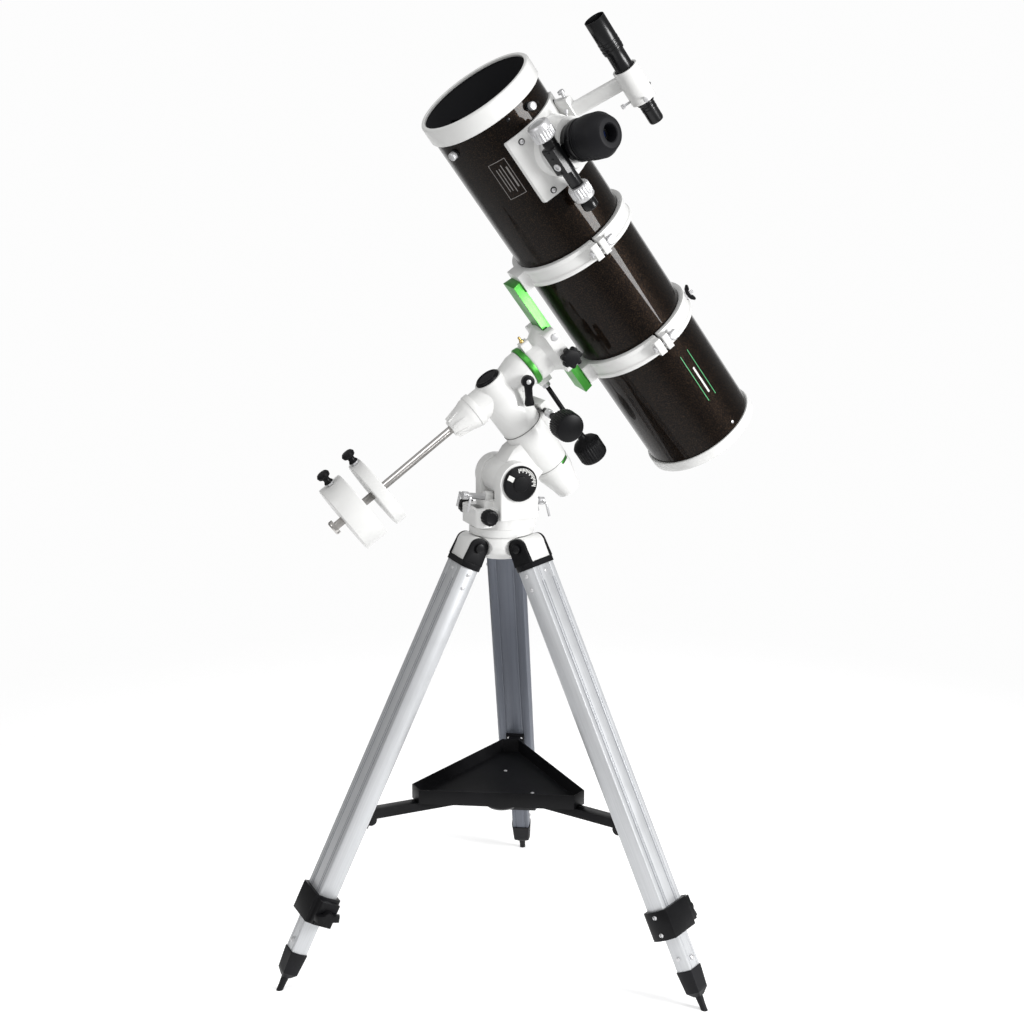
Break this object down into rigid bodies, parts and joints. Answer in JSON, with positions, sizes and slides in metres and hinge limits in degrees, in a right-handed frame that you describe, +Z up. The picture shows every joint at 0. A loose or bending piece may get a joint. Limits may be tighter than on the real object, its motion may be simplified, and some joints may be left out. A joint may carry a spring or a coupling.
{
  "type": "telescope on tripod",
  "caption": "Short dark reflector tube in hinged rings on an equatorial mount with counterweights, slow-motion controls and an extending aluminium tripod with tray.",
  "frame": {"origin": "centre of the bounding box's bottom face, on the floor the feet stand on", "axes": "+Z up; +Y is the horizontal direction the polar axis leans towards, along the north leg; +X is 90 degrees clockwise from it seen from above"},
  "size_m": [0.6918, 0.836, 1.5201],
  "materials": {
    "white_casting": "satin off-white painted casting",
    "white_weight": "satin off-white paint on cast iron",
    "tube_paint": "gloss very dark brown with fine metallic flake",
    "black_plastic": "satin moulded black",
    "black_rubber": "matt black",
    "black_metal": "black anodised or powder coated",
    "black_alloy": "gloss black anodised",
    "leg_aluminium": "silver anodised extrusion",
    "green_anodised": "bright green anodised",
    "chrome": "polished chrome plate",
    "steel": "polished steel bar",
    "mirror_glass": "aluminised front surface"
  },
  "bodies": {
    "tripod": {"tripod_head": "white_casting", "leg_forks": "black_plastic", "leg_pivot_bolts": "black_alloy", "leg_uppers": "leg_aluminium", "leg_clamps": "black_plastic", "spreader_hub": "black_plastic", "spreader_arms": "black_metal", "accessory_tray": "black_metal"},
    "leg_north": {"leg_lower_north": "leg_aluminium", "foot_north": "black_rubber"},
    "clamp_knob_north": {"leg_knob_north": "black_plastic"},
    "leg_southeast": {"leg_lower_southeast": "leg_aluminium", "foot_southeast": "black_rubber"},
    "clamp_knob_southeast": {"leg_knob_southeast": "black_plastic"},
    "leg_southwest": {"leg_lower_southwest": "leg_aluminium", "foot_southwest": "black_rubber"},
    "clamp_knob_southwest": {"leg_knob_southwest": "black_plastic"},
    "mount": {"mount_base": "white_casting"},
    "azimuth_screw_west": {"azimuth_knob_west": "black_plastic"},
    "azimuth_screw_east": {"azimuth_knob_east": "black_plastic"},
    "polar_head": {"ra_housing": "white_casting", "latitude_dial": "black_plastic", "polar_cap": "white_casting"},
    "latitude_screw_north": {"latitude_bolt_north": "chrome"},
    "latitude_screw_south": {"latitude_bolt_south": "chrome"},
    "ra_setting_circle": {"ra_circle": "green_anodised"},
    "ra_control": {"ra_knob": "black_plastic"},
    "ra_head": {"dec_housing": "white_casting", "front_cap": "black_plastic", "counterweight_collar": "white_casting", "counterweight_bar": "steel"},
    "ra_clutch_lever": {"ra_clutch": "black_plastic"},
    "weight_large": {"counterweight_large": "white_weight"},
    "weight_lock_large": {"weight_screw_large": "black_plastic"},
    "weight_small": {"counterweight_small": "white_weight"},
    "weight_lock_small": {"weight_screw_small": "black_plastic"},
    "dec_head": {"saddle": "white_casting"},
    "dec_setting_circle": {"dec_circle": "green_anodised"},
    "dec_control": {"dec_knob": "black_plastic"},
    "saddle_lock": {"saddle_knob": "black_plastic"},
    "ring_plate": {"dovetail_bar": "green_anodised", "ring_bases": "white_casting"},
    "optical_tube": {"tube": "tube_paint", "tube_front_ring": "white_casting", "mirror_cell": "white_casting", "primary_mirror": "mirror_glass", "secondary_mirror": "mirror_glass", "spider": "black_metal", "focuser_base": "white_casting", "pinion_block": "black_alloy", "finder_bracket": "white_casting"},
    "ring_cap_front": {"ring_cap_front": "white_casting"},
    "ring_lock_front": {"ring_knob_front": "chrome"},
    "ring_cap_rear": {"ring_cap_rear": "white_casting"},
    "ring_lock_rear": {"ring_knob_rear": "chrome"},
    "drawtube": {"drawtube": "black_alloy"},
    "focus_wheels": {"focus_knobs": "chrome"},
    "fine_focus": {"fine_knob": "black_alloy"},
    "eyepiece": {"eyepiece": "black_rubber"},
    "finder_scope": {"finder": "black_alloy"}
  },
  "joints": [
    {"name": "leg_extension_north", "type": "slide", "parent": "tripod", "child": "leg_north", "axis": [0, 0.4359, -0.9], "range_m": [-0.03, 0.42]},
    {"name": "clamp_knob_turn_north", "type": "hinge", "parent": "tripod", "child": "clamp_knob_north", "pos_m": [0, 0.34633, 0.13599], "axis": [-1, 0, 0], "continuous": true},
    {"name": "leg_extension_southeast", "type": "slide", "parent": "tripod", "child": "leg_southeast", "axis": [0.3775, -0.2179, -0.9], "range_m": [-0.03, 0.42]},
    {"name": "clamp_knob_turn_southeast", "type": "hinge", "parent": "tripod", "child": "clamp_knob_southeast", "pos_m": [0.28325, -0.14428, 0.13599], "axis": [0.5, 0.866, 0], "continuous": true},
    {"name": "leg_extension_southwest", "type": "slide", "parent": "tripod", "child": "leg_southwest", "axis": [-0.3775, -0.2179, -0.9], "range_m": [-0.03, 0.42]},
    {"name": "clamp_knob_turn_southwest", "type": "hinge", "parent": "tripod", "child": "clamp_knob_southwest", "pos_m": [-0.28325, -0.14428, 0.13599], "axis": [0.5, -0.866, 0], "continuous": true},
    {"name": "azimuth", "type": "hinge", "parent": "tripod", "child": "mount", "pos_m": [0, 0.01926, 0.722], "axis": [0, 0, 1], "range_deg": [-5, 5]},
    {"name": "azimuth_screw_turn_west", "type": "hinge", "parent": "mount", "child": "azimuth_screw_west", "pos_m": [0, 0.06026, 0.757], "axis": [-1, 0, 0], "continuous": true},
    {"name": "azimuth_screw_turn_east", "type": "hinge", "parent": "mount", "child": "azimuth_screw_east", "pos_m": [0, 0.06026, 0.757], "axis": [1, 0, 0], "continuous": true},
    {"name": "latitude", "type": "hinge", "parent": "mount", "child": "polar_head", "pos_m": [0, 0.01026, 0.8083], "axis": [1, 0, 0], "range_deg": [-12, 12]},
    {"name": "latitude_screw_travel_north", "type": "slide", "parent": "mount", "child": "latitude_screw_north", "axis": [0, 0.9871, 0.1599], "range_m": [-0.0075, 0.0075]},
    {"name": "latitude_screw_travel_south", "type": "slide", "parent": "mount", "child": "latitude_screw_south", "axis": [0, 0.9871, 0.1599], "range_m": [-0.0075, 0.0075]},
    {"name": "ra_circle_turn", "type": "hinge", "parent": "polar_head", "child": "ra_setting_circle", "pos_m": [0, 0.01926, 0.9382], "axis": [0, 0.6036, 0.7973], "continuous": true},
    {"name": "ra_slow_motion", "type": "hinge", "parent": "polar_head", "child": "ra_control", "pos_m": [-0.005, -0.04723, 0.9183], "axis": [-0.988, -0.0123, -0.1539], "continuous": true},
    {"name": "right_ascension", "type": "hinge", "parent": "polar_head", "child": "ra_head", "pos_m": [0, 0.01926, 0.9382], "axis": [0, 0.6036, 0.7973], "range_deg": [-45, 75]},
    {"name": "ra_clutch_turn", "type": "hinge", "parent": "ra_head", "child": "ra_clutch_lever", "pos_m": [-0.00351, -0.00868, 0.97064], "axis": [-0.9965, 0.0667, -0.0505], "range_deg": [-35, 35]},
    {"name": "weight_slide_large", "type": "slide", "parent": "ra_head", "child": "weight_large", "axis": [-0.0837, -0.7945, 0.6015], "range_m": [-0.013, 0.018]},
    {"name": "weight_lock_turn_large", "type": "hinge", "parent": "weight_large", "child": "weight_lock_large", "pos_m": [0.02466, 0.26128, 0.77127], "axis": [0, 0.6036, 0.7973], "continuous": true},
    {"name": "weight_slide_small", "type": "slide", "parent": "ra_head", "child": "weight_small", "axis": [-0.0837, -0.7945, 0.6015], "range_m": [-0.018, 0.138]},
    {"name": "weight_lock_turn_small", "type": "hinge", "parent": "weight_small", "child": "weight_lock_small", "pos_m": [0.0205, 0.22175, 0.80119], "axis": [0, 0.6036, 0.7973], "continuous": true},
    {"name": "declination", "type": "hinge", "parent": "ra_head", "child": "dec_head", "pos_m": [0, 0.02711, 0.94856], "axis": [-0.0837, -0.7945, 0.6015], "continuous": true},
    {"name": "dec_circle_turn", "type": "hinge", "parent": "dec_head", "child": "dec_setting_circle", "pos_m": [0, 0.02711, 0.94856], "axis": [-0.0837, -0.7945, 0.6015], "continuous": true},
    {"name": "dec_slow_motion", "type": "hinge", "parent": "dec_head", "child": "dec_control", "pos_m": [0.04129, -0.07347, 0.95281], "axis": [0.0371, -0.5896, -0.8068], "continuous": true},
    {"name": "saddle_lock_turn", "type": "hinge", "parent": "dec_head", "child": "saddle_lock", "pos_m": [-0.00938, -0.07512, 1.00841], "axis": [-0.9959, 0.0452, -0.0789], "continuous": true},
    {"name": "saddle_slide", "type": "slide", "parent": "dec_head", "child": "ring_plate", "axis": [-0.0355, 0.6056, 0.795], "range_m": [-0.03, 0.03]},
    {"name": "tube_rotation", "type": "hinge", "parent": "ring_plate", "child": "optical_tube", "pos_m": [-0.02172, -0.13221, 1.13161], "axis": [-0.0355, 0.6056, 0.795], "continuous": true},
    {"name": "ring_opening_front", "type": "hinge", "parent": "ring_plate", "child": "ring_cap_front", "pos_m": [0.08287, -0.09498, 1.19534], "axis": [-0.0355, 0.6056, 0.795], "range_deg": [0, 100]},
    {"name": "ring_lock_turn_front", "type": "hinge", "parent": "ring_cap_front", "child": "ring_lock_front", "pos_m": [-0.13124, -0.08527, 1.17839], "axis": [-0.0837, -0.7945, 0.6015], "continuous": true},
    {"name": "ring_opening_rear", "type": "hinge", "parent": "ring_plate", "child": "ring_cap_rear", "pos_m": [0.08962, -0.21035, 1.0439], "axis": [-0.0355, 0.6056, 0.795], "range_deg": [0, 100]},
    {"name": "ring_lock_turn_rear", "type": "hinge", "parent": "ring_cap_rear", "child": "ring_lock_rear", "pos_m": [-0.12449, -0.20064, 1.02695], "axis": [-0.0837, -0.7945, 0.6015], "continuous": true},
    {"name": "focus", "type": "slide", "parent": "optical_tube", "child": "drawtube", "axis": [-0.9318, -0.3077, 0.1928], "range_m": [-0.005, 0.035]},
    {"name": "focus_wheel_turn", "type": "hinge", "parent": "optical_tube", "child": "focus_wheels", "pos_m": [-0.1537, -0.00433, 1.3151], "axis": [-0.0355, 0.6056, 0.795], "range_deg": [-255, 40]},
    {"name": "fine_focus_turn", "type": "hinge", "parent": "focus_wheels", "child": "fine_focus", "pos_m": [-0.1537, -0.00433, 1.3151], "axis": [-0.0355, 0.6056, 0.795], "continuous": true},
    {"name": "eyepiece_pull", "type": "slide", "parent": "drawtube", "child": "eyepiece", "axis": [-0.9318, -0.3077, 0.1928], "range_m": [0, 0.03]},
    {"name": "finder_aim", "type": "hinge", "parent": "optical_tube", "child": "finder_scope", "pos_m": [-0.16801, -0.10575, 1.43765], "axis": [0.7678, -0.4927, 0.4096], "range_deg": [-1.2, 1.2]}
  ],
  "couplings": [
    {"joint": "latitude_screw_travel_north", "follows": "latitude", "m_per_rad": 0.034},
    {"joint": "latitude_screw_travel_south", "follows": "latitude", "m_per_rad": 0.034},
    {"joint": "focus_wheel_turn", "follows": "focus", "rad_per_m": -125}
  ]
}
